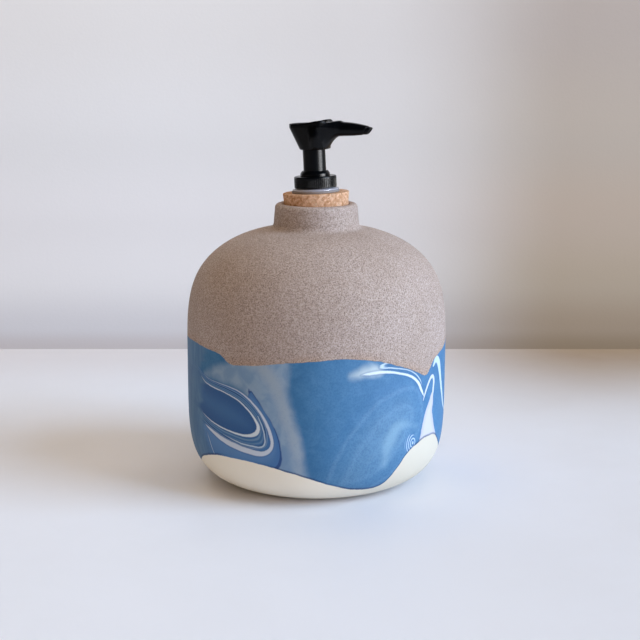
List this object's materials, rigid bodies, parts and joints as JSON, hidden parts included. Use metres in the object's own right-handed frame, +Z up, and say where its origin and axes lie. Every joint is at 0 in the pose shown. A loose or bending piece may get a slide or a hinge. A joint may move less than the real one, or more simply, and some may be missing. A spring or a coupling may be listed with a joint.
{
  "type": "pump dispenser bottle",
  "caption": "Squat ceramic dispenser bottle with domed shoulders, a cork stopper in its neck and a push-down lotion pump with a swivelling spout.",
  "frame": {"origin": "middle of the foot, on the surface the bottle stands on", "axes": "+Z up along the bottle, +X the way the spout points at rest"},
  "size_m": [0.128, 0.128, 0.1767],
  "materials": {
    "stoneware": "matte speckled taupe over a marbled blue band and a cream foot",
    "cork": "agglomerated cork, unsealed",
    "gasket_foam": "soft closed-cell foam",
    "natural_plastic": "milky unpigmented moulding",
    "black_gloss": "glossy moulded black",
    "black_satin": "satin moulded black",
    "seal_plastic": "soft waxy moulding",
    "spring_steel": "drawn stainless wire",
    "ball_steel": "polished stainless ball"
  },
  "bodies": {
    "bottle": {"ceramic_bottle": "stoneware"},
    "stopper": {"cork_stopper": "cork", "flange_gasket": "gasket_foam", "pump_housing": "natural_plastic", "closure_collar": "black_gloss", "guide_cap": "black_gloss", "valve_cage": "natural_plastic", "dip_tube": "natural_plastic", "return_spring": "spring_steel"},
    "inlet_check": {"inlet_ball": "ball_steel"},
    "plunger": {"piston_seal": "seal_plastic"},
    "actuator": {"piston_rod": "natural_plastic", "outer_stem": "black_satin", "actuator_head": "black_gloss", "nozzle_tip": "black_gloss"},
    "outlet_check": {"outlet_ball": "ball_steel"}
  },
  "joints": [
    {"name": "stopper_lift", "type": "slide", "parent": "bottle", "child": "stopper", "axis": [0, 0, 1], "range_m": [0, 0.135]},
    {"name": "pump_press", "type": "slide", "parent": "stopper", "child": "plunger", "axis": [0.048, 0, -0.9988], "range_m": [0, 0.0098], "stiffness_N_per_m": 800, "springref_m": -0.008, "deforming": ["return_spring"]},
    {"name": "spout_swivel", "type": "hinge", "parent": "plunger", "child": "actuator", "pos_m": [0, 0, 0.137], "axis": [-0.048, 0, 0.9988], "continuous": true},
    {"name": "inlet_ball_lift", "type": "slide", "parent": "stopper", "child": "inlet_check", "axis": [-0.048, 0, 0.9988], "range_m": [0, 0.0011]},
    {"name": "outlet_ball_lift", "type": "slide", "parent": "actuator", "child": "outlet_check", "axis": [-0.048, 0, 0.9988], "range_m": [0, 0.0006]}
  ]
}
